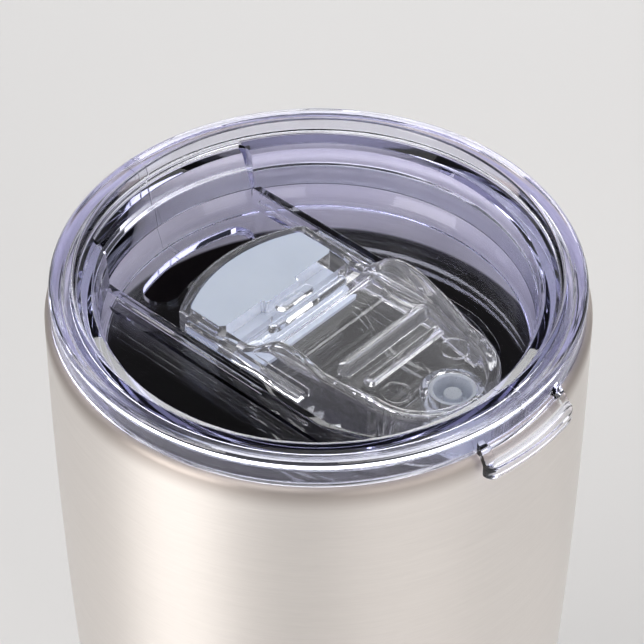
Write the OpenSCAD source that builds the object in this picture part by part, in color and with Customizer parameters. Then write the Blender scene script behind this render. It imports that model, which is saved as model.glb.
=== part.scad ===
// Insulated steel tumbler with a clear press-in lid and a sliding closure.
// The origin is the middle of the foot, on the table. +Z is up.
// The slot that one drinks from lies towards -X, the lid's thumb tab towards +X.

/* [Cup] */
// Height of the steel cup from the table to its lip
cup_h = 168; // [158:1:180]
// Outside diameter at the lip
lip_d = 88; // [87:0.5:90]
// Outside diameter at the foot
foot_d = 71; // [66:0.5:74]
// How far the side bows out of a straight line at half height
side_bow = 2.6; // [2:0.1:3.5]
// Thickness of the steel sheet
sheet = 0.8; // [0.6:0.05:0.9]
// Vacuum gap between the two shells below the mouth
vacuum_gap = 3.4; // [2.8:0.1:4.2]

/* [Lid] */
// Outside diameter of the flange
flange_d = 86.4; // [85.6:0.2:86.8]
// Height of the flange above the cup's lip
flange_h = 5.7; // [5.4:0.1:6.4]
// Inside diameter of the dish's wall at its top
dish_d = 71.4; // [71:0.2:72]
// Depth of the floor below the cup's lip
floor_depth = 8.9; // [8.6:0.1:9.2]
// Thickness of the moulded walls
lid_wall = 1.8; // [1.6:0.1:2]
// Reach of the thumb tab from the cup's axis
tab_reach = 46.9; // [46.6:0.1:48]

/* [Closure] */
// How far the slider travels between open and closed
travel = 12; // [10:0.5:12.5]
// Outside width across the two rails
rail_span = 36.6; // [36:0.1:37]
// Height of the rails above the floor
rail_h = 4.2; // [4:0.1:4.6]
// Width of the slider's front plate
plate_w = 30.2; // [29.8:0.1:30.4]

/* [Hidden] */

$fn = 96;
eps = 0.01;
big = 200;

// Cup: radii and levels
lip_r = lip_d / 2;
foot_r = foot_d / 2;
lip_round = 1.2;
mouth_wall = 2 * lip_round;
mouth_blend = 16;
side_steps = 16;
foot_round = 3.2;
foot_hem = 1.6;
cap_t = 0.6;
pan_z = 1.2;
cap_r = foot_r - foot_round - foot_hem;
liner_floor_z = 9;
liner_round = 7;
dimple_r = 7;
dimple_h = 1.2;
bead_r = 1.5;
getter_r = 6;
getter_off = 16;

// Lid: radii, and levels measured from the table
lid_z = cup_h + 0.06;
flange_r = flange_d / 2;
flange_top = cup_h + flange_h;
flange_round = 2.3;
ring_in_r = 39.2;
dish_r = dish_d / 2;
dish_top = cup_h + 2.9;
dish_taper = 0.7;
floor_z = cup_h - floor_depth;
floor_fillet = 0.6;
wall_foot_r = dish_r - dish_taper;
under_z = floor_z - lid_wall;
wall_end_z = cup_h - 11.4;
wall_end_r = 36.8;
flange_in_r = 41.2;
channel_top = cup_h + 2.6;
skirt_r = 39.4;
groove_r = 38;
groove_top = cup_h - 2.6;
groove_bottom = cup_h - 6.6;
below_groove_r = 38.9;
seal_r = 40.7;
spout_r = 37.9;
spout_top = cup_h + 1.7;
spout_half = 17.2;
tab_half_angle = 11.8;
tab_plate_t = 1.25;
tab_bar_t = 2.2;
tab_drop = 3.1;

// Closure: u runs towards the slot, so x = -u
rail_t = 1.5;
rail_top = floor_z + rail_h;
rail_out = rail_span / 2;
rail_in = rail_out - rail_t;
rail_bend_x = 15.1;
rail_end_x = 26;
catch_w = 0.5;
catch_top = rail_top - 1.4;
catch_h = 0.8;
slot_r_in = 25.4;
slot_r_out = 31.8;
slot_half_angle = 18;
boss_x = 28.6;
vent_x = boss_x - travel;
vent_r = 1.3;
gap = 0.08;
slider_z = floor_z + gap;
plate_r = 27.2;
plate_c = 5.6;
plate_front = plate_c - plate_r;
plate_half = plate_w / 2;
plate_top = cup_h - 3.4;
plate_back = 7;
pad_r = 26.6;
pad_c = 6.8;
pad_half = plate_half - 1.9;
pad_back = 8.9;
tongue_half = 3.8;
tongue = 1;
skin = 1.3;
seal_drop = 0.15;
seal_foot_h = 0.8;
seal_foot_w = 0.8;
seal_foot_back = 1.6;
grip_half = 14.5;
grip_x = 14;
tail_r = 12.7;
tail_x = 21.9;
tail_cut_x = 24;
rim_w = 1.8;
rim_top = cup_h + 2.4;
ridge_x = 1.2;
ridge_top = cup_h - 1.9;
tail_top = cup_h - 1.1;
tail_lift = 1.1;
sleeve_t = 1.1;
wing_half = rail_in - 0.7;
wing_top = rail_top + 0.6;
wing_t = 1.5;
boss_r = 3.9;
boss_top = cup_h - 2;
boss_bore_r = 3.1;
boss_foot_r = 4.5;
boss_foot_h = 1;
pin_r = 1.5;

// Outside radius of the cup's side at a height above the table
function side_r(z) =
    let (t = z / cup_h) foot_r + (lip_r - foot_r) * t + 4 * side_bow * t * (1 - t);

// Radius of the liner's inner face, which draws away from the side below the mouth
function bore_r(z) =
    side_r(z) - mouth_wall - (vacuum_gap + 2 * sheet - mouth_wall) * min(1, (cup_h - z) / mouth_blend);

// Points of an arc about a centre, from one angle to another
function arc(centre, r, from, to, steps = 8) =
    [for (i = [0 : steps]) let (a = from + (to - from) * i / steps) centre + r * [cos(a), sin(a)]];

// Points down or up a wall whose radius follows the side, moved inwards by inset
function side_points(z0, z1, inset) =
    [for (i = [0 : side_steps]) let (z = z0 + (z1 - z0) * i / side_steps) [side_r(z) - inset, z]];

function bore_points(z0, z1, inset) =
    [for (i = [0 : side_steps]) let (z = z0 + (z1 - z0) * i / side_steps) [bore_r(z) - inset, z]];

module turned(points) {
    rotate_extrude() polygon(points);
}

// ---- Cup ----

module outer_shell() {
    round_z = cup_h - lip_round;
    seam_r = lip_r - lip_round;
    foot_side_r = side_r(foot_round);
    foot_c = [foot_side_r - foot_round, foot_round + 0.4];
    color("gainsboro") turned(concat(
        [[cap_r, 0.4]],
        arc(foot_c, foot_round, -90, 0),
        side_points(foot_round + 1, round_z, 0),
        arc([seam_r, round_z], lip_round, 0, 90),
        arc([seam_r, round_z], lip_round - sheet, 90, 0),
        side_points(round_z - 0.6, foot_round + 1, sheet),
        arc(foot_c, foot_round - sheet, 0, -90),
        [[cap_r, 0.4 + sheet]]
    ));
}

module inner_liner() {
    round_z = cup_h - lip_round;
    seam_r = lip_r - lip_round;
    corner_z = liner_floor_z + liner_round;
    corner_r = bore_r(corner_z) - liner_round;
    color("silver") turned(concat(
        [[seam_r, cup_h]],
        arc([seam_r, round_z], lip_round, 90, 180),
        bore_points(round_z - 0.8, corner_z + 1, 0),
        arc([corner_r, corner_z], liner_round, 0, -90),
        [[0, liner_floor_z], [0, liner_floor_z - sheet]],
        arc([corner_r, corner_z], liner_round + sheet, -90, 0),
        bore_points(corner_z + 1, round_z - 0.8, -sheet),
        arc([seam_r, round_z], lip_round - sheet, 180, 90)
    ));
}

module base_pan() {
    pan_r = side_r(foot_round) - foot_round;
    color("darkgray") turned([
        [bead_r, pan_z + dimple_h], [dimple_r - 1, pan_z + dimple_h], [dimple_r, pan_z],
        [pan_r, pan_z], [pan_r, pan_z + sheet], [dimple_r + 0.5, pan_z + sheet],
        [dimple_r - 0.5, pan_z + dimple_h + sheet], [bead_r, pan_z + dimple_h + sheet]
    ]);
}

module evacuation_bead() {
    head_r = bead_r + 1;
    color("tan") {
        translate([0, 0, pan_z + dimple_h]) cylinder(h = sheet, r = bead_r);
        translate([0, 0, pan_z + dimple_h - 0.6]) cylinder(h = 0.6, r = head_r);
    }
}

module getter_cup() {
    floor_at = pan_z + sheet;
    color("silver") translate([getter_off, 0, floor_at]) difference() {
        cylinder(h = 2.4, r = getter_r);
        translate([0, 0, 0.4]) cylinder(h = 3, r = getter_r - 0.5);
    }
}

module getter_pellet() {
    floor_at = pan_z + sheet + 0.4;
    color("dimgray") translate([getter_off, 0, floor_at]) cylinder(h = 1.5, r = getter_r - 0.5);
}

module base_cap() {
    rim_t = 0.6;
    color("silver") difference() {
        cylinder(h = pan_z, r = cap_r);
        translate([0, 0, cap_t]) cylinder(h = pan_z, r = cap_r - rim_t);
    }
}

// ---- Lid ----

module lid_dish() {
    turned(concat(
        [[0, floor_z]],
        arc([wall_foot_r - floor_fillet, floor_z + floor_fillet], floor_fillet, -90, 0, 4),
        [[dish_r, dish_top - 0.8], [dish_r + 0.6, dish_top], [ring_in_r - 1.2, dish_top + 0.5],
            [ring_in_r - 0.5, dish_top + 1.2]],
        arc([ring_in_r + 0.6, flange_top - 0.7], 0.7, 160, 90, 4),
        arc([flange_r - flange_round, flange_top - flange_round], flange_round, 90, 0),
        [[flange_r, lid_z + 0.4], [flange_r - 0.4, lid_z], [flange_in_r, lid_z],
            [flange_in_r - 0.2, channel_top], [skirt_r + 0.1, channel_top], [skirt_r, groove_top],
            [groove_r, groove_top], [groove_r, groove_bottom], [below_groove_r, groove_bottom],
            [below_groove_r - 0.4, groove_bottom - 0.8], [wall_end_r, wall_end_z],
            [wall_end_r - 1.4, wall_end_z], [wall_end_r - 2, under_z], [0, under_z]]
    ));
}

module spout_cut() {
    // between the rails the wall leans outwards, so that the drink runs to the slot
    intersection() {
        turned([[30, floor_z + 0.2], [wall_foot_r - 0.2, floor_z + 0.2], [spout_r - 0.2, spout_top - 0.4],
            [spout_r + 0.6, spout_top + 0.4], [ring_in_r - 1, dish_top + 0.8], [30, flange_top]]);
        translate([-big, -spout_half, floor_z]) cube([big - 20, 2 * spout_half, 20]);
    }
}

module channel_plan(half) {
    translate([-big, -half]) square([big + rail_bend_x, 2 * half]);
    translate([rail_bend_x, 0]) circle(r = half);
}

module rail_plan(half_in) {
    intersection() {
        difference() {
            channel_plan(rail_out);
            channel_plan(half_in);
        }
        translate([-big, -big / 2]) square([big + rail_end_x, big]);
    }
}

module rails() {
    intersection() {
        union() {
            translate([0, 0, floor_z - eps]) linear_extrude(rail_h + eps) rail_plan(rail_in);
            translate([0, 0, catch_top - catch_h]) linear_extrude(catch_h) intersection() {
                rail_plan(rail_in - catch_w);
                translate([-big + 4, -big / 2]) square([big, big]);
            }
        }
        cylinder(h = big * 2, r = wall_foot_r + 0.5);
    }
}

module slot_cut() {
    mid_r = (slot_r_in + slot_r_out) / 2;
    half_w = (slot_r_out - slot_r_in) / 2;
    translate([0, 0, under_z - 2]) linear_extrude(lid_wall + 4) {
        intersection() {
            difference() {
                circle(r = slot_r_out);
                circle(r = slot_r_in);
            }
            polygon([[0, 0], [-big, big * tan(slot_half_angle)], [-big, -big * tan(slot_half_angle)]]);
        }
        for (side = [-1, 1])
            rotate(180 + side * slot_half_angle) translate([mid_r, 0]) circle(r = half_w);
    }
}

module tab_sector(r_out, r_in, z_low, z_high) {
    reach = big * tan(tab_half_angle);
    translate([0, 0, z_low]) linear_extrude(z_high - z_low) intersection() {
        difference() {
            circle(r = r_out);
            circle(r = r_in);
        }
        polygon([[0, 0], [big, reach], [big, -reach]]);
    }
}

module thumb_tab() {
    plate_top = lid_z + tab_plate_t;
    tab_sector(tab_reach, flange_r - 0.6, lid_z, plate_top);
    tab_sector(tab_reach, tab_reach - tab_bar_t, cup_h - tab_drop, plate_top);
}

module lid_shell() {
    color("lavender", 0.5) difference() {
        union() {
            difference() {
                lid_dish();
                spout_cut();
            }
            rails();
            thumb_tab();
        }
        slot_cut();
        translate([vent_x, 0, under_z - 1]) cylinder(h = lid_wall + 2, r = vent_r);
    }
}

module lid_gasket() {
    mid = (groove_top + groove_bottom) / 2;
    base_h = groove_top - groove_bottom - 0.2;
    lip_h = 0.9;
    color("white", 0.7) turned([
        [groove_r, mid - base_h / 2], [skirt_r + 0.2, mid - base_h / 2], [skirt_r + 0.2, mid - lip_h],
        [seal_r, mid - lip_h / 2], [seal_r, mid + lip_h / 2], [skirt_r + 0.2, mid + lip_h],
        [skirt_r + 0.2, mid + base_h / 2], [groove_r, mid + base_h / 2]
    ]);
}

// ---- Closure ----

module slider_plan(inset) {
    intersection() {
        translate([plate_c, 0]) circle(r = plate_r - inset);
        translate([plate_front, -plate_half + inset])
            square([-plate_back - plate_front, 2 * (plate_half - inset)]);
    }
    hull_half = grip_half - inset;
    polygon([[-plate_back - eps, -hull_half], [-plate_back - eps, hull_half], [grip_x, hull_half],
        [tail_x, tail_r - inset], [tail_x, inset - tail_r], [grip_x, -hull_half]]);
    translate([tail_x, 0]) circle(r = tail_r - inset);
}

// Side view of the slider's rim, from the plate up beside the ridge and down to the tail
crest = [
    [plate_front - 1, plate_top], [-3, plate_top], [-1.5, plate_top + 0.7], [3, rim_top - 1],
    [5, rim_top - 0.2], [7.5, rim_top], [10, rim_top - 0.4], [13, rim_top - 1.6], [17, rim_top - 2.3],
    [22, tail_top + 0.3], [26, tail_top], [40, tail_top]
];

// Side view of the plate, the ridge and the thumb's scoop inside the rim
scoop = [
    [-3, plate_top], [-1, plate_top + 0.4], [ridge_x, ridge_top], [ridge_x + 0.8, ridge_top - 0.1],
    [5, ridge_top - 0.6], [8, ridge_top - 0.2], [14, ridge_top + 0.8], [18, ridge_top + 0.4],
    [25, ridge_top + 0.2], [40, ridge_top + 0.1]
];

module side_view(points) {
    rotate([90, 0, 0]) linear_extrude(2 * big, center = true) polygon(points);
}

module slider_solid() {
    intersection() {
        translate([0, 0, slider_z - 1]) linear_extrude(20) slider_plan(0);
        side_view(concat(crest, [[40, slider_z], [plate_front - 1, slider_z]]));
    }
}

module basin_cut() {
    intersection() {
        translate([0, 0, slider_z]) linear_extrude(20) slider_plan(rim_w);
        side_view(concat(scoop, [[40, rim_top + 5], [-3, rim_top + 5]]));
    }
}

module hollow_under() {
    // the underside is cored out to an even wall below the ridge and the scoop
    front_x = -plate_back + 1.2;
    lowered = [for (p = scoop) [p[0], p[1] - skin]];
    intersection() {
        translate([0, 0, slider_z - 2]) linear_extrude(20) slider_plan(rim_w + 0.1);
        side_view(concat(
            [[front_x, slider_z - 2], [front_x, plate_top - skin]], lowered, [[40, slider_z - 2]]
        ));
    }
}

module pad_plan(inset) {
    intersection() {
        translate([pad_c, 0]) circle(r = pad_r - inset);
        translate([-pad_r, -pad_half + inset]) square([pad_r - pad_back - inset, 2 * (pad_half - inset)]);
    }
    translate([-pad_back - 2, inset - tongue_half])
        square([2 + tongue - inset, 2 * (tongue_half - inset)]);
}

module seal_foot_plan() {
    // the seal's flange reaches back under the plate as far as the ridge
    pad_plan(-seal_foot_w);
    foot_half = pad_half - 2;
    translate([-pad_back - 2, -foot_half]) square([pad_back + 2 - seal_foot_back, 2 * foot_half]);
}

module bar(x, half, w, z_low, z_top) {
    translate([x - w / 2, -half + w / 2, z_low]) cube([w, 2 * half - w, z_top - z_low]);
    for (side = [-1, 1])
        translate([x, side * (half - w / 2), z_low]) cylinder(h = z_top - z_low, r = w / 2);
}

module slider_wings() {
    // side flanges above the rails' catch, and feet below it
    wing_x = -14;
    wing_len = 25;
    foot_h = catch_top - catch_h - 0.3 - slider_z;
    root = plate_half - 2.6;
    for (side = [-1, 1]) scale([1, side, 1]) {
        translate([wing_x, root, wing_top - wing_t]) cube([wing_len, wing_half - root, wing_t]);
        translate([wing_x + 2, root, slider_z]) cube([wing_len - 4, 1.5, wing_top - slider_z - eps]);
        translate([wing_x + 2, plate_half - 1.2, slider_z])
            cube([wing_len - 4, rail_in - 0.25 - plate_half + 1.2, foot_h]);
    }
}

module slider() {
    color("aliceblue", 0.5) difference() {
        union() {
            difference() {
                slider_solid();
                basin_cut();
                hollow_under();
                translate([tail_cut_x, -big / 2, slider_z - 1]) cube([big, big, 1 + tail_lift]);
            }
            slider_wings();
            bar(-2.4, 8.8, 1.9, plate_top - 0.4, cup_h - 1.95);
            bar(14.1, 10.1, 2.3, ridge_top, cup_h + 0.8);
            bar(18.4, 8.9, 2.2, ridge_top - 0.2, cup_h - 0.4);
            bar(-5.4, 4, 2.4, plate_top - 0.5, cup_h - 2.5);
            translate([boss_x, 0, slider_z + tail_lift])
                cylinder(h = ridge_top - 0.5 - slider_z - tail_lift, r = boss_r + sleeve_t);
        }
        translate([0, 0, slider_z - 1]) linear_extrude(20) pad_plan(0);
        translate([0, 0, slider_z - 1]) linear_extrude(seal_foot_h + 1) seal_foot_plan();
        translate([boss_x, 0, slider_z - 1]) cylinder(h = 20, r = boss_r);
        translate([boss_x, 0, slider_z - 1]) cylinder(h = boss_foot_h + 1, r = boss_foot_r + 0.1);
    }
}

module slot_seal() {
    color("lightsteelblue") translate([0, 0, slider_z]) {
        linear_extrude(seal_foot_h) seal_foot_plan();
        linear_extrude(plate_top - seal_drop - slider_z) pad_plan(0);
    }
}

module vent_plug() {
    bore_floor = boss_foot_h + 1.6;
    plug_h = boss_top - slider_z;
    color("white", 0.8) translate([boss_x, 0, slider_z]) {
        difference() {
            cylinder(h = plug_h, r = boss_r);
            translate([0, 0, bore_floor]) cylinder(h = plug_h, r = boss_bore_r);
        }
        cylinder(h = plug_h - 0.8, r = pin_r);
        cylinder(h = boss_foot_h, r = boss_foot_r);
    }
}

outer_shell();
inner_liner();
base_pan();
evacuation_bead();
getter_cup();
getter_pellet();
base_cap();
lid_shell();
lid_gasket();
slider();
slot_seal();
vent_plug();
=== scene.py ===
"""Insulated steel tumbler with a clear press-in lid: the looks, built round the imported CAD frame.

Lengths are in millimetres and heights are from the cup's lip until a mesh is made, because
every part of the lid is placed from the lip. put() turns them into metres in the CAD frame.
The slot that one drinks from lies towards -X, the thumb tab towards +X.
"""

import math

import bmesh
import bpy
import numpy as np
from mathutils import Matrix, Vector


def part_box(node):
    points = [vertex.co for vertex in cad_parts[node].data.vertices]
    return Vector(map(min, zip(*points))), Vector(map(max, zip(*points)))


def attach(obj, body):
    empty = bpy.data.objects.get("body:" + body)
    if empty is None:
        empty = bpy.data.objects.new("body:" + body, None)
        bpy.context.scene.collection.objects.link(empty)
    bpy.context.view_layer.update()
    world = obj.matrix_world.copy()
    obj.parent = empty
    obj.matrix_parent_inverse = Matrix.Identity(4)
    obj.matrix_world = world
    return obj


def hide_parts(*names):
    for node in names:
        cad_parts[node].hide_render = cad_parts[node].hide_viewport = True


MM = 0.001
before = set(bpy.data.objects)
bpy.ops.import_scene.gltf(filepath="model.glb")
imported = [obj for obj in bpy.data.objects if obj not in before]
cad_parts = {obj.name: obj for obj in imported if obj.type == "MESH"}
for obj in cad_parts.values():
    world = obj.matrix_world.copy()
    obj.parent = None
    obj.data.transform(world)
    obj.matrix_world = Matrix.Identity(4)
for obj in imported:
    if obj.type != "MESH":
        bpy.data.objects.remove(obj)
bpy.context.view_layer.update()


def box_mm(node):
    """A CAD node's corners in millimetres."""
    low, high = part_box(node)
    return np.array(low) / MM, np.array(high) / MM


# ---- Driving dimensions, read from the frame or the same as in the CAD source ----

LIP = box_mm("outer_shell")[1][2]
LIP_R = round(float(box_mm("outer_shell")[1][1]), 1)
FOOT_R = 35.5
SIDE_BOW = 2.6
SHEET = 0.8
VACUUM_GAP = 3.4
LIP_ROUND = 1.2
MOUTH_BLEND = 16
FOOT_ROUND = 3.2
CAP_R = 30.7
LINER_FLOOR = 9
LINER_ROUND = 7

FLANGE_R = 43.2
FLANGE_TOP = box_mm("lid_shell")[1][2] - LIP
FLOOR = -8.9
UNDER = FLOOR - 1.8
DISH_R = 35.7
DISH_TOP = 2.9
FOOT_OF_WALL_R = 35.0
LID_GAP = 0.06
RING_R = 39.2
FLANGE_IN_R = 41.2
CHANNEL_TOP = 2.6
SKIRT_R = 39.4
GROOVE_R = 38.0
GROOVE_TOP = -2.6
GROOVE_FOOT = -6.6
BELOW_GROOVE_R = 38.9
SEAL_R = 40.7
WALL_END_R = 36.8
WALL_END = -11.4
SPOUT_R = 37.9
SPOUT_TOP = 1.7
SPOUT_HALF = 17.2
SLOT_IN_R = 25.4
SLOT_OUT_R = 31.8
SLOT_HALF_DEGREES = 18
RAIL_OUT = 18.3
RAIL_IN = 16.8
RAIL_TOP = FLOOR + 4.2
RAIL_BEND_X = 15.1
RAIL_END_X = 26
CATCH_TOP = RAIL_TOP - 1.4
CATCH_W = 0.5
TAB_HALF = math.radians(12.4)
TAB_TURN = math.radians(-1.2)
TAB_REACH = box_mm("lid_shell")[1][0]
TAB_DROP = 3.1
SEAM_H = 0.05

SLIDER_Z = FLOOR + 0.08
PLATE_C = 5.6
PLATE_R = 27.2
PLATE_FRONT = PLATE_C - PLATE_R
PLATE_HALF = 15.1
PLATE_TOP = -3.4
GRIP_HALF = 14.5
GRIP_X = 14
TAIL_X = 21.9
TAIL_R = 12.7
TAIL_END = TAIL_X + TAIL_R
RIM_TOP = 2.4
RIDGE_X = 1.2
RIDGE_TOP = -1.9
TAIL_TOP = -1.1
PAD_C = 6.8
PAD_R = 26.6
PAD_HALF = 13.2
PAD_BACK = -8.9
PAD_FOOT_BACK = -1.6
PAD_FOOT_IN = 2.0
PAD_FOOT_H = 0.8
PAD_DROP = 0.15
FIT = 0.05
TONGUE_HALF = 3.8
TONGUE = 1.0
PLATE_BACK = -6.0
TAIL_CUT = 24
TAIL_LIFT = 1.1
SKIN = 1.3
RIM_W = 1.8
EDGE_ROUND = 0.9
BOSS_X = 28.6
BOSS_R = 3.9
BOSS_TOP = -2.0
BOSS_BORE_R = 3.1
BOSS_FOOT_R = 4.4
SLEEVE = 1.0
PIN_R = 1.5
VENT_X = 16.6
VENT_R = 1.3


# ---- Mesh tools ----


def rounded(corners, steps=4):
    """A closed outline whose corners, given as (x, y, radius), are turned into arcs."""
    points = []
    count = len(corners)
    for i, (x, y, radius) in enumerate(corners):
        here = np.array([x, y], float)
        back = np.array(corners[i - 1][:2]) - here
        ahead = np.array(corners[(i + 1) % count][:2]) - here
        len_back, len_ahead = np.linalg.norm(back), np.linalg.norm(ahead)
        back, ahead = back / len_back, ahead / len_ahead
        half = math.acos(max(-1.0, min(1.0, float(back @ ahead)))) / 2
        if radius <= 0 or half > math.pi / 2 - 0.02:
            points.append(here)
            continue
        reach = min(radius / math.tan(half), 0.48 * len_back, 0.48 * len_ahead)
        radius = reach * math.tan(half)
        bisector = (back + ahead) / np.linalg.norm(back + ahead)
        centre = here + bisector * radius / math.sin(half)
        start, end = here + back * reach - centre, here + ahead * reach - centre
        a0 = math.atan2(start[1], start[0])
        turn = math.atan2(end[1], end[0]) - a0
        turn = (turn + math.pi) % (2 * math.pi) - math.pi
        for k in range(steps + 1):
            a = a0 + turn * k / steps
            points.append(centre + radius * np.array([math.cos(a), math.sin(a)]))
    return np.array(points)


def supported(outline):
    """The outline with points close to both ends of each long side, which keep flats flat beside arcs."""
    gap = 0.05
    points = []
    count = len(outline)
    for i in range(count):
        start, end = np.array(outline[i], float), np.array(outline[(i + 1) % count], float)
        length = np.linalg.norm(end - start)
        points.append(start)
        if length > 6 * gap:
            points.append(start + (end - start) * gap / length)
            points.append(end - (end - start) * gap / length)
    return np.array(points)


def revolve(profile, segments=256, angles=None, lift=None):
    """Vertices and faces of a closed profile of (r, z) turned about the axis.

    lift gives, for each angle, how far the surface stands out along the profile's normal.
    """
    profile = np.array(profile, float)
    if angles is None:
        angles = np.arange(segments) * 2 * math.pi / segments
    normal = np.roll(profile, -1, 0) - np.roll(profile, 1, 0)
    normal = np.stack([normal[:, 1], -normal[:, 0]], 1)
    normal /= np.maximum(np.linalg.norm(normal, axis=1), 1e-9)[:, None]
    area = np.sum(profile[:, 0] * np.roll(profile[:, 1], -1) - np.roll(profile[:, 0], -1) * profile[:, 1])
    normal *= 1 if area > 0 else -1
    verts, first = [], []
    for (r, z), (nr, nz) in zip(profile, normal):
        first.append(len(verts))
        if r < 1e-6:
            verts.append((0, 0, z))
            continue
        for k, a in enumerate(angles):
            out = lift[k] if lift is not None else 0
            verts.append(((r + nr * out) * math.cos(a), (r + nr * out) * math.sin(a), z + nz * out))
    faces = []
    n, m = len(profile), len(angles)
    for i in range(n):
        j = (i + 1) % n
        pole_i, pole_j = profile[i, 0] < 1e-6, profile[j, 0] < 1e-6
        if pole_i and pole_j:
            continue
        for k in range(m):
            q = (k + 1) % m
            if pole_i:
                faces.append((first[i], first[j] + k, first[j] + q))
            elif pole_j:
                faces.append((first[i] + k, first[j], first[i] + q))
            else:
                faces.append((first[i] + k, first[j] + k, first[j] + q, first[i] + q))
    return np.array(verts), faces


def arc(centre, radius, start, end, steps=10):
    """Points round a centre, from one angle in degrees to another."""
    angles = np.radians(np.linspace(start, end, steps + 1))
    return [(centre[0] + radius * math.cos(a), centre[1] + radius * math.sin(a)) for a in angles]


def prism(outline, low, high):
    """A closed outline of (x, y) drawn up from one height to another."""
    n = len(outline)
    verts = [(x, y, low) for x, y in outline] + [(x, y, high) for x, y in outline]
    faces = [(i, (i + 1) % n, n + (i + 1) % n, n + i) for i in range(n)]
    return np.array(verts), faces + [tuple(range(n))[::-1], tuple(range(n, 2 * n))]


def sweep(count, places):
    """A closed section carried along places; places(k) gives the section's points in space."""
    rings = [places(k) for k in range(count)]
    n = len(rings[0])
    verts = np.concatenate(rings)
    faces = []
    for k in range(len(rings) - 1):
        for i in range(n):
            j = (i + 1) % n
            faces.append((k * n + i, k * n + j, (k + 1) * n + j, (k + 1) * n + i))
    last = (len(rings) - 1) * n
    return verts, faces + [tuple(range(n))[::-1], tuple(range(last, last + n))]


def put(name, verts, faces):
    """Makes an object from millimetres above the lip, with its normals outwards."""
    mesh = bpy.data.meshes.new(name)
    place = (np.array(verts) + np.array([0, 0, LIP])) * MM
    mesh.from_pydata(place.tolist(), [], [list(map(int, f)) for f in faces])
    work = bmesh.new()
    work.from_mesh(mesh)
    bmesh.ops.remove_doubles(work, verts=work.verts, dist=1e-8)
    bmesh.ops.recalc_face_normals(work, faces=work.faces)
    work.to_mesh(mesh)
    work.free()
    obj = bpy.data.objects.new(name, mesh)
    bpy.context.scene.collection.objects.link(obj)
    return obj


def combine(target, tool, operation):
    """Cuts or joins one closed mesh with another and drops the tool."""
    step = target.modifiers.new("combine", "BOOLEAN")
    step.object = tool
    step.operation = operation
    step.solver = "MANIFOLD"
    graph = bpy.context.evaluated_depsgraph_get()
    made = bpy.data.meshes.new_from_object(target.evaluated_get(graph))
    target.modifiers.clear()
    target.data = made
    bpy.data.objects.remove(tool)
    return target


def smooth(obj, degrees=32):
    """Smooth faces, with the sharp edges kept."""
    obj.data.shade_smooth()
    obj.data.set_sharp_from_angle(angle=math.radians(degrees))


def finish_piece(obj, body, slot, material, *nodes, degrees=32):
    """Shades a piece, gives it its material and hands it to the frame."""
    smooth(obj, degrees)
    obj.data.materials.clear()
    obj.data.materials.append(material)
    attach(obj, body)
    if nodes:
        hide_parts(*nodes)
    return obj


# ---- Materials ----


class Shader:
    """A material's node tree with short ways to add and join nodes."""

    def __init__(self, name):
        self.material = bpy.data.materials.new(name)
        self.material.use_nodes = True
        self.tree = self.material.node_tree
        self.tree.nodes.clear()
        self.output = self.add("ShaderNodeOutputMaterial")

    def add(self, kind, **values):
        node = self.tree.nodes.new(kind)
        for key, value in values.items():
            if hasattr(node, key):
                setattr(node, key, value)
            else:
                node.inputs[key.replace("_", " ")].default_value = value
        return node

    def join(self, source, target):
        self.tree.links.new(source, target)

    def math(self, operation, a, b=None):
        node = self.add("ShaderNodeMath", operation=operation)
        for socket, value in zip(node.inputs, (a, b)):
            if value is None:
                continue
            if isinstance(value, (int, float)):
                socket.default_value = value
            else:
                self.join(value, socket)
        return node.outputs[0]

    def spread(self, value, low, high):
        """A 0 to 1 value turned into a range."""
        node = self.add("ShaderNodeMapRange")
        self.join(value, node.inputs["Value"])
        node.inputs["To Min"].default_value = low
        node.inputs["To Max"].default_value = high
        return node.outputs["Result"]

    def ramp(self, value, stops):
        node = self.add("ShaderNodeValToRGB")
        while len(node.color_ramp.elements) < len(stops):
            node.color_ramp.elements.new(0.5)
        for element, (place, colour) in zip(node.color_ramp.elements, stops):
            element.position = place
            element.color = (*colour, 1)
        self.join(value, node.inputs["Fac"])
        return node.outputs["Color"]

    def noise(self, scale, detail=3, stretch=(1, 1, 1), source=None):
        """Noise in object space, in metres, stretched along the axes."""
        if source is None:
            source = self.add("ShaderNodeTexCoord").outputs["Object"]
        mapping = self.add("ShaderNodeMapping")
        mapping.inputs["Scale"].default_value = stretch
        self.join(source, mapping.inputs["Vector"])
        node = self.add("ShaderNodeTexNoise")
        node.inputs["Scale"].default_value = scale
        node.inputs["Detail"].default_value = detail
        self.join(mapping.outputs["Vector"], node.inputs["Vector"])
        return node.outputs["Fac"]

    def round_the_axis(self):
        """Coordinates of (angle, radius, height), for marks that run round the cup."""
        place = self.add("ShaderNodeTexCoord").outputs["Object"]
        parts = self.add("ShaderNodeSeparateXYZ")
        self.join(place, parts.inputs[0])
        x, y, z = parts.outputs
        angle = self.math("ARCTAN2", y, x)
        squares = self.math("ADD", self.math("MULTIPLY", x, x), self.math("MULTIPLY", y, y))
        radius = self.math("SQRT", squares)
        joined = self.add("ShaderNodeCombineXYZ")
        for socket, value in zip(joined.inputs, (angle, radius, z)):
            self.join(value, socket)
        return joined.outputs[0]

    def bump(self, height, strength, distance):
        node = self.add("ShaderNodeBump")
        node.inputs["Strength"].default_value = strength
        node.inputs["Distance"].default_value = distance
        self.join(height, node.inputs["Height"])
        return node.outputs["Normal"]


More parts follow.
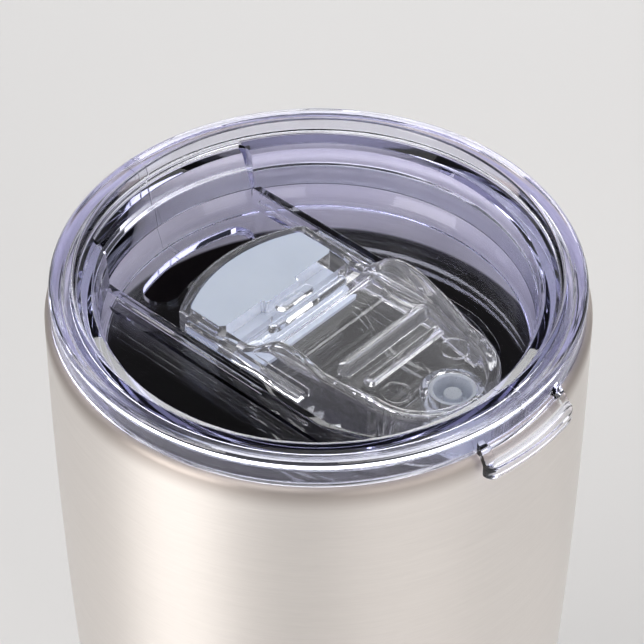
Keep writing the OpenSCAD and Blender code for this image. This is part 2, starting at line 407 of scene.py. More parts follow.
def brushed_steel(name, tint, dark_tint, rough, anisotropic):
    """Steel brushed round the axis: long fine scratches, a slow change of tone, and painted shade that
    darkens the top few millimetres under the lid's flange.
    """
    s = Shader(name)
    around = s.round_the_axis()
    fine = s.noise(1.0, 4, (14, 9000, 9000), around)
    coarse = s.noise(1.0, 3, (3, 1500, 1500), around)
    cloud = s.noise(28, 3)
    grainy = s.math("ADD", s.math("MULTIPLY", fine, 0.6), s.math("MULTIPLY", coarse, 0.4))
    body = s.add("ShaderNodeBsdfPrincipled", Metallic=1.0)
    tone = s.math("ADD", s.math("MULTIPLY", grainy, 0.7), s.math("MULTIPLY", cloud, 0.3))
    place = s.add("ShaderNodeSeparateXYZ")
    s.join(s.add("ShaderNodeTexCoord").outputs["Object"], place.inputs[0])
    # Painted shade: the steel's colour is darkened over the top 5 mm below the lip, standing in for the shade
    # under the lid's flange
    lip = s.add("ShaderNodeMapRange", interpolation_type="SMOOTHSTEP")
    s.join(place.outputs["Z"], lip.inputs["Value"])
    lip.inputs["From Min"].default_value = (LIP - 5) * MM
    lip.inputs["From Max"].default_value = (LIP - 0.2) * MM
    lip.inputs["To Max"].default_value = 0.75
    # The painted shade's brownish colour multiplies the steel's own tone towards the lip
    shade = s.add("ShaderNodeMix", data_type="RGBA", blend_type="MULTIPLY")
    s.join(lip.outputs["Result"], shade.inputs["Factor"])
    s.join(s.ramp(tone, [(0.32, dark_tint), (0.68, tint)]), shade.inputs[6])
    shade.inputs[7].default_value = (0.45, 0.40, 0.38, 1)
    s.join(shade.outputs[2], body.inputs["Base Color"])
    s.join(s.spread(grainy, rough - 0.07, rough + 0.07), body.inputs["Roughness"])
    s.join(s.bump(grainy, 0.10, 0.00004), body.inputs["Normal"])
    body.inputs["Anisotropic"].default_value = anisotropic
    body.inputs["Anisotropic Rotation"].default_value = 0.25
    tangent = s.add("ShaderNodeTangent", direction_type="RADIAL", axis="Z")
    s.join(tangent.outputs[0], body.inputs["Tangent"])
    s.join(body.outputs[0], s.output.inputs["Surface"])
    return s.material


def liner_steel():
    """The liner: satin steel round the mouth, with painted shadow that greys it under the flange and painted
    shade that turns it near black deeper down, where the light ends.
    """
    s = Shader("satin_liner")
    around = s.round_the_axis()
    grain = s.noise(1.0, 4, (10, 6000, 6000), around)
    cloud = s.noise(40, 3)
    place = s.add("ShaderNodeTexCoord").outputs["Object"]
    parts = s.add("ShaderNodeSeparateXYZ")
    s.join(place, parts.inputs[0])
    # Painted shade: below about 19 mm under the lip the liner's colour turns near black, with its metal and
    # specular lowered, where light doesn't reach
    depth = s.add("ShaderNodeMapRange", interpolation_type="SMOOTHSTEP")
    s.join(parts.outputs["Z"], depth.inputs["Value"])
    depth.inputs["From Min"].default_value = (LIP - 19.6) * MM
    depth.inputs["From Max"].default_value = (LIP - 18.8) * MM
    bright = s.ramp(s.math("ADD", s.math("MULTIPLY", grain, 0.7), s.math("MULTIPLY", cloud, 0.3)),
                    [(0.32, (0.84, 0.81, 0.82)), (0.68, (0.95, 0.92, 0.93))])
    # Painted shadow: the top 3 mm under the lid's flange is mixed towards a dull grey-violet, as if shaded by
    # the flange
    painted_flange_shadow = s.add("ShaderNodeMapRange", interpolation_type="SMOOTHSTEP")
    s.join(parts.outputs["Z"], painted_flange_shadow.inputs["Value"])
    painted_flange_shadow.inputs["From Min"].default_value = (LIP - 3) * MM
    painted_flange_shadow.inputs["From Max"].default_value = (LIP - 0.6) * MM
    painted_flange_shadow.inputs["To Max"].default_value = 0.75
    mouth = s.add("ShaderNodeMix", data_type="RGBA")
    s.join(painted_flange_shadow.outputs["Result"], mouth.inputs["Factor"])
    s.join(bright, mouth.inputs[6])
    mouth.inputs[7].default_value = (0.34, 0.32, 0.40, 1)
    # The near-black colour of the painted shade in the deep liner
    dark = s.ramp(cloud, [(0.3, (0.012, 0.010, 0.010)), (0.7, (0.018, 0.015, 0.014))])
    tone = s.add("ShaderNodeMix", data_type="RGBA")
    s.join(depth.outputs["Result"], tone.inputs["Factor"])
    s.join(dark, tone.inputs[6])
    s.join(mouth.outputs[2], tone.inputs[7])
    body = s.add("ShaderNodeBsdfPrincipled")
    s.join(tone.outputs[2], body.inputs["Base Color"])
    s.join(s.spread(depth.outputs["Result"], 0.0, 0.2), body.inputs["Metallic"])
    s.join(s.spread(depth.outputs["Result"], 0.05, 0.5), body.inputs["Specular IOR Level"])
    s.join(s.spread(grain, 0.46, 0.60), body.inputs["Roughness"])
    s.join(s.bump(grain, 0.1, 0.00003), body.inputs["Normal"])
    s.join(body.outputs[0], s.output.inputs["Surface"])
    return s.material


def clear_plastic(name, absorbed, density, ripple, bend, milk):
    """Clear moulded plastic: faint ripples and handling haze, and a tint that grows with depth.

    bend is the refractive index, milk the share of the light that the surface scatters.
    """
    s = Shader(name)
    glass = s.add("ShaderNodeBsdfPrincipled")
    glass.inputs["Base Color"].default_value = (1, 1, 1, 1)
    glass.inputs["Transmission Weight"].default_value = 1 - milk
    glass.inputs["IOR"].default_value = bend
    haze = s.noise(60, 5)
    scuffs = s.noise(500, 4)
    s.join(s.spread(s.math("MULTIPLY", haze, scuffs), 0.0, 0.08), glass.inputs["Roughness"])
    wave = s.math("ADD", s.noise(160, 2), s.math("MULTIPLY", s.noise(900, 2), 0.12))
    s.join(s.bump(wave, ripple, 0.0006), glass.inputs["Normal"])
    clear = s.add("ShaderNodeBsdfTransparent")
    clear.inputs["Color"].default_value = (0.93, 0.93, 0.97, 1)
    path = s.add("ShaderNodeLightPath")
    mix = s.add("ShaderNodeMixShader")
    s.join(path.outputs["Is Shadow Ray"], mix.inputs[0])
    s.join(glass.outputs[0], mix.inputs[1])
    s.join(clear.outputs[0], mix.inputs[2])
    s.join(mix.outputs[0], s.output.inputs["Surface"])
    inside = s.add("ShaderNodeVolumeAbsorption")
    inside.inputs["Color"].default_value = (*absorbed, 1)
    inside.inputs["Density"].default_value = density
    s.join(inside.outputs[0], s.output.inputs["Volume"])
    return s.material


def silicone(name, colour, dark, rough, transmission=0.0, scatter=0.0):
    """Matte silicone with a fine moulded grain and a slow change of tone."""
    s = Shader(name)
    body = s.add("ShaderNodeBsdfPrincipled")
    grain = s.noise(5200, 3)
    cloud = s.noise(110, 4)
    s.join(s.ramp(cloud, [(0.3, dark), (0.7, colour)]), body.inputs["Base Color"])
    s.join(s.spread(grain, rough - 0.08, rough + 0.08), body.inputs["Roughness"])
    relief = s.math("ADD", grain, s.math("MULTIPLY", cloud, 0.4))
    s.join(s.bump(relief, 0.25, 0.00003), body.inputs["Normal"])
    body.inputs["IOR"].default_value = 1.41
    body.inputs["Transmission Weight"].default_value = transmission
    body.inputs["Subsurface Weight"].default_value = scatter
    body.inputs["Subsurface Radius"].default_value = (0.6, 0.7, 1.0)
    body.inputs["Subsurface Scale"].default_value = 0.0015
    s.join(body.outputs[0], s.output.inputs["Surface"])
    return s.material


def plain_metal(name, colour, dark, rough):
    """Rolled sheet or powder: a mottled tone with a slight grain."""
    s = Shader(name)
    body = s.add("ShaderNodeBsdfPrincipled", Metallic=1.0)
    cloud = s.noise(220, 5)
    grain = s.noise(4200, 2)
    s.join(s.ramp(cloud, [(0.3, dark), (0.7, colour)]), body.inputs["Base Color"])
    s.join(s.spread(grain, rough - 0.06, rough + 0.06), body.inputs["Roughness"])
    s.join(s.bump(grain, 0.2, 0.00002), body.inputs["Normal"])
    s.join(body.outputs[0], s.output.inputs["Surface"])
    return s.material


def mineral(name, colour, dark, rough):
    """Fused glass bead or pressed powder."""
    s = Shader(name)
    body = s.add("ShaderNodeBsdfPrincipled")
    cloud = s.noise(900, 5)
    s.join(s.ramp(cloud, [(0.35, dark), (0.65, colour)]), body.inputs["Base Color"])
    s.join(s.spread(cloud, rough - 0.1, rough + 0.1), body.inputs["Roughness"])
    s.join(s.bump(cloud, 0.4, 0.00005), body.inputs["Normal"])
    s.join(body.outputs[0], s.output.inputs["Surface"])
    return s.material


def floor_paper():
    """The studio's pale sweep."""
    s = Shader("studio_paper")
    body = s.add("ShaderNodeBsdfPrincipled")
    cloud = s.noise(3, 3)
    paper = s.ramp(cloud, [(0.3, (0.65, 0.64, 0.635)), (0.7, (0.68, 0.67, 0.665))])
    s.join(paper, body.inputs["Base Color"])
    body.inputs["Roughness"].default_value = 0.75
    s.join(body.outputs[0], s.output.inputs["Surface"])
    return s.material


SHELL_STEEL = brushed_steel("brushed_shell", (0.93, 0.885, 0.845), (0.86, 0.815, 0.775), 0.48, 0.8)
LINER_STEEL = liner_steel()
PLAIN_STEEL = plain_metal("plain_steel", (0.62, 0.61, 0.60), (0.50, 0.49, 0.48), 0.34)
LID_PLASTIC = clear_plastic("clear_lid", (0.30, 0.33, 0.82), 42, 0.0002, 1.50, 0.0)
SLIDER_PLASTIC = clear_plastic("clear_slider", (0.45, 0.50, 0.72), 8, 0.0003, 1.40, 0.035)
CLEAR_SILICONE = silicone("clear_silicone", (0.86, 0.86, 0.90), (0.78, 0.78, 0.83), 0.3, 0.85)
PAD_SILICONE = silicone("grey_silicone", (0.45, 0.50, 0.58), (0.42, 0.47, 0.555), 0.55, 0, 0.25)
FROSTED_SILICONE = silicone("frosted_silicone", (0.88, 0.92, 0.96), (0.82, 0.86, 0.91), 0.3, 0.72)
SOLDER = mineral("solder_glass", (0.38, 0.35, 0.29), (0.25, 0.23, 0.19), 0.3)
GETTER = mineral("getter", (0.27, 0.27, 0.28), (0.17, 0.17, 0.18), 0.8)


# ---- Cup ----


def side_r(z):
    """Outside radius of the cup at a height above the lip."""
    t = (z + LIP) / LIP
    return FOOT_R + (LIP_R - FOOT_R) * t + 4 * SIDE_BOW * t * (1 - t)


def bore_r(z):
    """Inside radius of the liner, which draws away from the side below the mouth."""
    mouth = 2 * LIP_ROUND
    return side_r(z) - mouth - (VACUUM_GAP + 2 * SHEET - mouth) * min(1, -z / MOUTH_BLEND)


def outer_shell():
    """The shell: foot, bowed side and the lip rolled in to the seam, then back down inside."""
    seam = (LIP_R - LIP_ROUND, -LIP_ROUND)
    foot_z = FOOT_ROUND + 0.4 - LIP
    foot = (side_r(FOOT_ROUND - LIP) - FOOT_ROUND, foot_z)
    heights = np.linspace(foot_z + 0.6, -LIP_ROUND, 60)
    profile = [(CAP_R, 0.4 - LIP)]
    profile += arc(foot, FOOT_ROUND, -90, 0)
    profile += [(side_r(z), z) for z in heights]
    profile += arc(seam, LIP_ROUND, 8, 90)
    profile += arc(seam, LIP_ROUND - SHEET, 90, 0)
    profile += [(side_r(z) - SHEET, z) for z in heights[::-1]]
    profile += arc(foot, FOOT_ROUND - SHEET, 0, -90)
    profile += [(CAP_R, 0.4 + SHEET - LIP)]
    obj = put("outer_shell_looks", *revolve(profile))
    return finish_piece(obj, "cup", "brushed_shell", SHELL_STEEL, "outer_shell")


def inner_liner():
    """The liner: from the seam at the lip down the bore to the floor, then back up outside."""
    seam = (LIP_R - LIP_ROUND, -LIP_ROUND)
    corner_z = LINER_FLOOR + LINER_ROUND - LIP
    corner = (bore_r(corner_z) - LINER_ROUND, corner_z)
    heights = np.linspace(-LIP_ROUND - 0.8, corner_z + 1, 80)
    floor_z = LINER_FLOOR - LIP
    profile = [(LIP_R - LIP_ROUND, 0)]
    profile += arc(seam, LIP_ROUND, 90, 180)
    profile += [(bore_r(z), z) for z in heights]
    profile += arc(corner, LINER_ROUND, 0, -90)
    profile += [(corner[0] * k / 12, floor_z) for k in range(11, -1, -1)]
    profile += [(corner[0] * k / 12, floor_z - SHEET) for k in range(0, 12)]
    profile += arc(corner, LINER_ROUND + SHEET, -90, 0)
    profile += [(bore_r(z) + SHEET, z) for z in heights[::-1]]
    profile += arc(seam, LIP_ROUND - SHEET, 180, 90)
    obj = put("inner_liner_looks", *revolve(profile))
    return finish_piece(obj, "cup", "satin_liner", LINER_STEEL, "inner_liner")


# ---- Lid ----


def lid_profile():
    """The lid's section: floor, dish wall, ledges, ring, flange, skirt and gasket groove."""
    return supported(rounded([
        (0, FLOOR, 0), (FOOT_OF_WALL_R, FLOOR, 0.7), (DISH_R, DISH_TOP - 0.8, 0.2),
        (DISH_R + 0.6, DISH_TOP, 0.35), (RING_R - 1.2, DISH_TOP + 0.5, 0.2),
        (RING_R - 0.5, DISH_TOP + 1.2, 0.3), (RING_R, FLANGE_TOP, 0.6), (RING_R + 1.7, FLANGE_TOP, 0.6),
        (FLANGE_R, FLANGE_TOP - 0.3, 2.1), (FLANGE_R, LID_GAP, 0.35), (FLANGE_IN_R, LID_GAP, 0.2),
        (FLANGE_IN_R - 0.2, CHANNEL_TOP, 0.5), (SKIRT_R + 0.1, CHANNEL_TOP, 0.5),
        (SKIRT_R, GROOVE_TOP, 0.15), (GROOVE_R, GROOVE_TOP, 0.15), (GROOVE_R, GROOVE_FOOT, 0.15),
        (BELOW_GROOVE_R, GROOVE_FOOT, 0.15), (BELOW_GROOVE_R - 0.4, GROOVE_FOOT - 0.8, 0.3),
        (WALL_END_R, WALL_END, 0.4), (WALL_END_R - 1.4, WALL_END, 0.3),
        (FOOT_OF_WALL_R - 0.2, UNDER, 0.25), (0, UNDER, 0),
    ], 6))


SEAMS = (0.0, math.pi)


def off_seam(angle):
    """The angle to the nearest mould seam."""
    return min(abs((angle - seam + math.pi) % (2 * math.pi) - math.pi) for seam in SEAMS)


def seam_angles():
    """Columns round the lid, closer together at the two mould seams, and the seams' height."""
    even = np.linspace(0, 2 * math.pi, 360, endpoint=False)
    seam_half = 0.09 / 42
    near = np.array([-2, -1, -0.5, 0, 0.5, 1, 2]) * seam_half
    keep = [a for a in even if off_seam(a) > 3 * seam_half]
    angles = np.sort(np.array(keep + [(seam + d) % (2 * math.pi) for seam in SEAMS for d in near]))
    away = np.array([off_seam(a) for a in angles])
    lift = np.clip(1 - away / seam_half, 0, 1) * SEAM_H
    return angles, lift


def spout_cutter():
    """What leans the wall outwards between the rails, so that the drink runs to the slot."""
    inner, ceiling = 30, 8
    profile = rounded([
        (inner, FLOOR + 0.2, 0), (FOOT_OF_WALL_R - 0.2, FLOOR + 0.2, 0.5),
        (SPOUT_R - 0.2, SPOUT_TOP - 0.4, 0.5), (SPOUT_R + 0.6, SPOUT_TOP + 0.4, 0.3),
        (RING_R - 1, DISH_TOP + 0.8, 0), (inner, ceiling, 0),
    ])
    ring = put("spout_ring", *revolve(profile, 512))
    near, far = -20, -60
    plan = [(far, -SPOUT_HALF), (near, -SPOUT_HALF), (near, SPOUT_HALF), (far, SPOUT_HALF)]
    block = put("spout_block", *prism(plan, FLOOR, 10))
    return combine(ring, block, "INTERSECT")


def rail_path(side):
    """Points and directions along a rail, from the dish wall round to its free end."""
    middle = (RAIL_OUT + RAIL_IN) / 2
    start_x = -math.sqrt(DISH_R**2 - middle**2)
    path = [((x, side * middle), (0, side)) for x in np.linspace(start_x, RAIL_BEND_X, 24)]
    last = math.acos((RAIL_END_X - RAIL_BEND_X) / middle)
    for a in np.linspace(math.pi / 2, last, 24)[1:]:
        out = (math.cos(a), side * math.sin(a))
        path.append(((RAIL_BEND_X + middle * out[0], middle * out[1]), out))
    return path


def rail(side):
    """One of the two rails that the slider runs between, with softened top edges."""
    half = (RAIL_OUT - RAIL_IN) / 2
    root = FLOOR - 0.5
    edge = 0.22
    section = supported(rounded([(-half, root, 0), (half, root, 0), (half, RAIL_TOP, edge),
                                 (-half, RAIL_TOP, edge)]))
    path = rail_path(side)

    def place(k):
        (x, y), (ox, oy) = path[k]
        return np.array([(x + ox * a, y + oy * a, z) for a, z in section])

    return put("rail", *sweep(len(path), place))


def catch(side):
    """The low strip inside a rail that holds the slider down."""
    y_in, y_out = side * (RAIL_IN - CATCH_W), side * (RAIL_IN + 0.4)
    low = CATCH_TOP - 0.8
    section = [(y_in, low + 0.1), (y_out, low), (y_out, CATCH_TOP), (y_in, CATCH_TOP - 0.15)]
    verts = [(x, y, z) for x in (-29, 4) for y, z in section]
    faces = [(0, 1, 2, 3), (7, 6, 5, 4)] + [(i, (i + 1) % 4, 4 + (i + 1) % 4, 4 + i) for i in range(4)]
    return put("catch", verts, faces)


def slot_cutter():
    """The curved drink slot, with round ends."""
    middle = (SLOT_IN_R + SLOT_OUT_R) / 2
    end_r = (SLOT_OUT_R - SLOT_IN_R) / 2
    first, last = 180 - SLOT_HALF_DEGREES, 180 + SLOT_HALF_DEGREES
    ends = [(middle * math.cos(a), middle * math.sin(a)) for a in np.radians([first, last])]
    outline = arc((0, 0), SLOT_OUT_R, first, last, 47)
    outline += arc(ends[1], end_r, last, last + 180, 15)[1:-1]
    outline += arc((0, 0), SLOT_IN_R, last, first, 47)
    outline += arc(ends[0], end_r, first - 180, first, 15)[1:-1]
    return put("slot_cutter", *prism(outline, UNDER - 2, FLOOR + 2))


def drum(name, x, radius, low, high):
    """A round cutter over a place on the lid's middle line."""
    return put(name, *prism(arc((x, 0), radius, 0, 360, 48)[:-1], low, high))


def thumb_tab():
    """The tab: a thin plate that slopes down over the lip to a bar, with a gusset at each end."""
    root_r, knee_r, bar_r = 42.4, 43.9, 44.9
    plate_low, plate_top = 0.12, 1.31
    bar_low, bar_root, bar_top = -TAB_DROP, -1.2, -0.7
    section = supported(rounded([
        (root_r, plate_low, 0), (knee_r, plate_low, 0.3), (bar_r, bar_root, 0.4), (bar_r, bar_low, 0.3),
        (TAB_REACH, bar_low, 0.5), (TAB_REACH, bar_top, 0.6), (bar_r + 0.3, 0.1, 0.5),
        (knee_r - 0.1, plate_top, 0.3), (root_r, plate_top, 0),
    ], 5))
    corner = 1.9
    gusset_h = 1.6
    gusset_r = bar_r + 0.6
    count = 72
    angles = TAB_HALF * np.sin(np.linspace(-math.pi / 2, math.pi / 2, count))

    def place(k):
        from_end = (TAB_HALF - abs(angles[k])) * TAB_REACH
        cut = corner - min(from_end, corner)
        reach = TAB_REACH - (corner - math.sqrt(corner**2 - cut**2))
        gusset = float(smooth_step(-from_end, -2.2, -1.2))
        seam = SEAM_H if abs(angles[k]) < 0.0015 else 0
        turned = angles[k] + TAB_TURN
        points = []
        for r, z in section:
            above = z - np.interp(r, [knee_r, bar_r], [plate_low, bar_root]) > 0.6
            if above and r < gusset_r:
                z = z + gusset * gusset_h * (gusset_r - r) / (gusset_r - root_r)
            r = min(r, reach) + (seam if r > TAB_REACH - 0.2 else 0)
            points.append((r * math.cos(turned), r * math.sin(turned), z))
        return np.array(points)

    return put("thumb_tab", *sweep(count, place))


def lid():
    """The lid: its turned section, then the spout, the rails, the tab, the slot and the vent hole."""
    angles, lift = seam_angles()
    body = put("lid_shell_looks", *revolve(lid_profile(), angles=angles, lift=lift))
    combine(body, spout_cutter(), "DIFFERENCE")
    for side in (-1, 1):
        combine(body, rail(side), "UNION")
        combine(body, catch(side), "UNION")
    combine(body, thumb_tab(), "UNION")
    combine(body, slot_cutter(), "DIFFERENCE")
    combine(body, drum("vent_cutter", VENT_X, VENT_R, UNDER - 2, FLOOR + 2), "DIFFERENCE")
    return finish_piece(body, "lid", "clear_lid", LID_PLASTIC, "lid_shell")


def gasket():
    """The sealing ring: a band in the groove with a thin lip that wipes the liner."""
    low, high = GROOVE_FOOT + 0.1, GROOVE_TOP - 0.1
    back_r, face_r, root_r = GROOVE_R + 0.03, SKIRT_R + 0.15, SKIRT_R + 0.2
    mid = (GROOVE_FOOT + GROOVE_TOP) / 2
    root_half, edge_half = 0.6, 0.25
    profile = rounded([
        (back_r, low, 0.1), (face_r, low, 0.3), (root_r, mid - root_half, 0.3),
        (SEAL_R, mid - edge_half, 0.15), (SEAL_R, mid + edge_half, 0.15),
        (root_r, mid + root_half, 0.3), (face_r, high, 0.3), (back_r, high, 0.1),
    ])
    obj = put("lid_gasket_looks", *revolve(profile))
    return finish_piece(obj, "lid", "clear_silicone", CLEAR_SILICONE, "lid_gasket")


# ---- Closure ----


def soften(values, xs, width):
    """A Gaussian mean of values over evenly spaced xs."""
    step = xs[1] - xs[0]
    reach = int(4 * width / step)
    kernel = np.exp(-0.5 * (np.arange(-reach, reach + 1) * step / width) ** 2)
    kernel /= kernel.sum()
    padded = np.concatenate([np.full(reach, values[0]), values, np.full(reach, values[-1])])
    return np.convolve(padded, kernel, "valid")


def smooth_step(x, low, high):
    t = np.clip((x - low) / (high - low), 0, 1)
    return t * t * (3 - 2 * t)


FINE_X = np.arange(-24, 36, 0.05)


def along(x, places, values, width):
    """A line through places and values, with its corners softened."""
    return np.interp(x, FINE_X, soften(np.interp(FINE_X, places, values), FINE_X, width))


def half_width(x):
    """Half the slider's width at a place along it."""
    sides = along(x, [-8.4, -6, GRIP_X, TAIL_X, 36], [PLATE_HALF, GRIP_HALF, GRIP_HALF, TAIL_R, TAIL_R], 0.9)
    front = np.sqrt(np.maximum(PLATE_R**2 - np.minimum(x - PLATE_C, 0) ** 2, 0))
    tail = np.sqrt(np.maximum(TAIL_R**2 - np.maximum(x - TAIL_X, 0) ** 2, 0))
    tail = np.where(x > TAIL_X, tail, 99)
    meet = 0.9
    blend = np.clip(0.5 + (sides - front) / (2 * meet), 0, 1)
    body = sides * (1 - blend) + front * blend - meet * blend * (1 - blend)
    body = np.where(front < 10, front, body)
    return np.minimum(body, tail)


def crest(x):
    """Height of the slider's rim along its length."""
    return along(x, [-24, -3, -1.5, 3, 5, 7.5, 10, 13, 17, 22, 26, 36],
                 [PLATE_TOP, PLATE_TOP, PLATE_TOP + 0.7, RIM_TOP - 1, RIM_TOP - 0.2, RIM_TOP, RIM_TOP - 0.4,
                  RIM_TOP - 1.6, RIM_TOP - 2.3, TAIL_TOP + 0.3, TAIL_TOP, TAIL_TOP], 0.7)


def middle(x):
    """Height along the middle: the plate, the ridge and the thumb scoop behind it."""
    return along(x, [-24, -3, -1, RIDGE_X, RIDGE_X + 0.8, 5, 8, 14, 18, 25, 36],
                 [PLATE_TOP, PLATE_TOP, PLATE_TOP + 0.4, RIDGE_TOP, RIDGE_TOP - 0.1, RIDGE_TOP - 0.6,
                  RIDGE_TOP - 0.2, RIDGE_TOP + 0.8, RIDGE_TOP + 0.4, RIDGE_TOP + 0.2, RIDGE_TOP + 0.1], 0.4)


# Each finger rib: where it is, half its length, its width and its top
RIBS = [(-2.4, 8.8, 1.9, -1.95), (14.1, 10.1, 2.3, 0.8), (18.4, 8.9, 2.2, -0.4), (-5.4, 4.0, 2.4, -2.5)]


def rib_height(x, y, rib):
    """Height of a round-topped rib over a point, falling away steeply beside it."""
    at, half, width, top = rib
    crown_h = 0.9
    fall = 9
    across = np.hypot(x - at, np.maximum(np.abs(y) - (half - width / 2), 0)) / (width / 2)
    crown = crown_h * (1 - np.sqrt(np.maximum(1 - np.minimum(across, 1) ** 2, 0)))
    return top - crown - fall * np.maximum(across - 1, 0)


# The two circles that the mould's ejector pins leave in the scoop's floor
EJECTOR_X = 23.0
EJECTOR_Y = 7.0
EJECTOR_R = 2.3
EJECTOR_H = 0.09


def ejector_mark(x, y):
    """A hair-fine raised ring round each ejector pin's place."""
    away = np.hypot(x - EJECTOR_X, np.abs(y) - EJECTOR_Y)
    return EJECTOR_H * np.exp(-(((away - EJECTOR_R) / 0.11) ** 2))


def slider_columns():
    """Places along the slider, close together where its plan closes at the two ends."""
    fine = 1.4
    ends = fine * np.linspace(0, 1, 26)[:-1] ** 2
    between = np.arange(PLATE_FRONT + fine, TAIL_END - fine, 0.15)
    return np.concatenate([PLATE_FRONT + ends, between, TAIL_END - ends[::-1]])


def slider_block():
    """The slider as two height fields over its plan, joined down their edge."""
    xs = slider_columns()
    half = half_width(xs)
    half[0] = half[-1] = 0
    even = np.linspace(-1, 1, 197)
    ts = 0.5 * np.sin(even * math.pi / 2) + 0.5 * even
    x, t = np.meshgrid(xs, ts, indexing="ij")
    y = t * half[:, None]
    edge = np.stack([np.concatenate([xs, xs]), np.concatenate([half, -half])], 1)
    inset = np.full(x.shape, 99.0)
    for ex, ey in edge:
        inset = np.minimum(inset, np.hypot(x - ex, y - ey))
    rim = crest(x)
    shell = rim - (rim - np.minimum(middle(x), rim)) * smooth_step(inset, RIM_W - 0.7, RIM_W + 1.3)
    top = shell + ejector_mark(x, y)
    for rib in RIBS:
        top = np.maximum(top, rib_height(x, y, rib))
    drop = EDGE_ROUND - np.sqrt(np.maximum(EDGE_ROUND**2 - np.maximum(EDGE_ROUND - inset, 0) ** 2, 0))
    top = top - drop
    foot = SLIDER_Z + TAIL_LIFT * smooth_step(x, TAIL_CUT - 0.2, TAIL_CUT + 0.2)
    cored = smooth_step(inset, SKIN, SKIN + 0.4) * smooth_step(x, PLATE_BACK, PLATE_BACK + 0.5)
    cored = cored * smooth_step(np.hypot(x - BOSS_X, y), BOSS_R + SLEEVE, BOSS_R + SLEEVE + 0.3)
    low = foot + (shell - SKIN - foot) * cored
    foot_edge = 0.3
    low = low + foot_edge * np.maximum(1 - inset / foot_edge, 0) ** 2
    n, m = x.shape
    grid = np.arange(2 * n * m).reshape(2, n, m)
    grid[:, (0, -1), :] = grid[:, (0, -1), :1]
    faces = []
    for i in range(n - 1):
        for j in range(m - 1):
            corners = ((i, j), (i + 1, j), (i + 1, j + 1), (i, j + 1))
            faces.append([grid[0][c] for c in corners])
            faces.append([grid[1][c] for c in corners[::-1]])
        for j in (0, m - 1):
            faces.append([grid[0, i, j], grid[0, i + 1, j], grid[1, i + 1, j], grid[1, i, j]])
    faces = [list(dict.fromkeys(face)) for face in faces]
    used = np.unique(np.concatenate(faces))
    place = np.zeros(grid.size, int)
    place[used] = np.arange(len(used))
    verts = np.concatenate([np.stack([x, y, top], 2).reshape(-1, 3), np.stack([x, y, low], 2).reshape(-1, 3)])
    return put("slider_looks", verts[used], [[place[v] for v in face] for face in faces])


def pad_outline(inset):
    """Plan of the silicone pad: an arc in front, square behind, with a tongue in its back."""
    r, half, back = PAD_R - inset, PAD_HALF - inset, PAD_BACK - inset
    corner_r, bevel = 1.3, 0.8
    turn = math.asin(half / r)
    front = [(PAD_C - r * math.cos(a), r * math.sin(a), 0) for a in np.linspace(turn, -turn, 25)][1:-1]
    corner = PAD_C - r * math.cos(turn)
    tongue = TONGUE_HALF - inset
    tip = back + TONGUE
    return rounded(
        [(corner, half, corner_r)] + front + [
            (corner, -half, corner_r), (back - bevel, -half, 0), (back, -half + 0.9, 0),
            (back, -tongue, 0.3), (tip, -tongue, 0.3), (tip, tongue, 0.3), (back, tongue, 0.3),
            (back, half - 0.9, 0), (back - bevel, half, 0),
        ], 5)


def seal_flange(inset):
    """Plan of the seal's flange, which reaches back under the plate as far as the ridge."""
    half = PAD_HALF - PAD_FOOT_IN - inset
    front, back = PAD_BACK - 1, PAD_FOOT_BACK - inset
    corner_r = 0.8
    return rounded([(front, half, 0), (front, -half, 0), (back, -half, corner_r), (back, half, corner_r)], 5)


def wing(side):
    """The slider's side flange, which runs along the rail above the level of its catch."""
    y_in, y_out = side * (PLATE_HALF - 2.4), side * (RAIL_IN - 0.7)
    top = RAIL_TOP + 0.6
    low = top - 1.5
    section = rounded([(y_in, low, 0), (y_out, low, 0.2), (y_out, top, 0.25), (y_in, top, 0)], 3)
    xs = np.linspace(-14.5, 10.5, 9)
    return put("wing", *sweep(9, lambda k: np.array([(xs[k], y, z) for y, z in section])))


def slider():
    """The slider: block and flanges, less the room for the pad, its flange and the plug."""
    body = slider_block()
    for side in (-1, 1):
        combine(body, wing(side), "UNION")
    combine(body, put("pad_cutter", *prism(pad_outline(-FIT), SLIDER_Z - 1, 2)), "DIFFERENCE")
    foot_room = prism(seal_flange(-FIT), SLIDER_Z - 1, SLIDER_Z + PAD_FOOT_H + FIT)
    combine(body, put("flange_cutter", *foot_room), "DIFFERENCE")
    combine(body, drum("boss_cutter", BOSS_X, BOSS_R + FIT, SLIDER_Z - 1, 2), "DIFFERENCE")
    return finish_piece(body, "closure", "clear_slider", SLIDER_PLASTIC, "slider", degrees=38)


def slot_seal():
    """The pad that closes the slot, with a softened top edge, and its flange under the plate."""
    top = PLATE_TOP - PAD_DROP
    # Each ring of the pad's side: its height and how far it is drawn in
    levels = [(SLIDER_Z + 0.02, 0.06), (top - 0.27, 0.06), (top - 0.07, 0.12), (top, 0.3), (top, 0.36)]
    outline = pad_outline(0)
    centre = outline.mean(0)
    rings = []
    for z, inset in levels:
        offset = outline - centre
        scale = 1 - inset / np.abs(offset).max(0)
        rings.append(np.column_stack([centre + offset * scale, np.full(len(outline), z)]))
    pad = put("slot_seal_looks", *sweep(len(rings), lambda k: rings[k]))
    flange = put("seal_flange", *prism(seal_flange(0), SLIDER_Z + 0.03, SLIDER_Z + PAD_FOOT_H))
    combine(pad, flange, "UNION")
    return finish_piece(pad, "closure", "grey_silicone", PAD_SILICONE, "slot_seal", degrees=50)


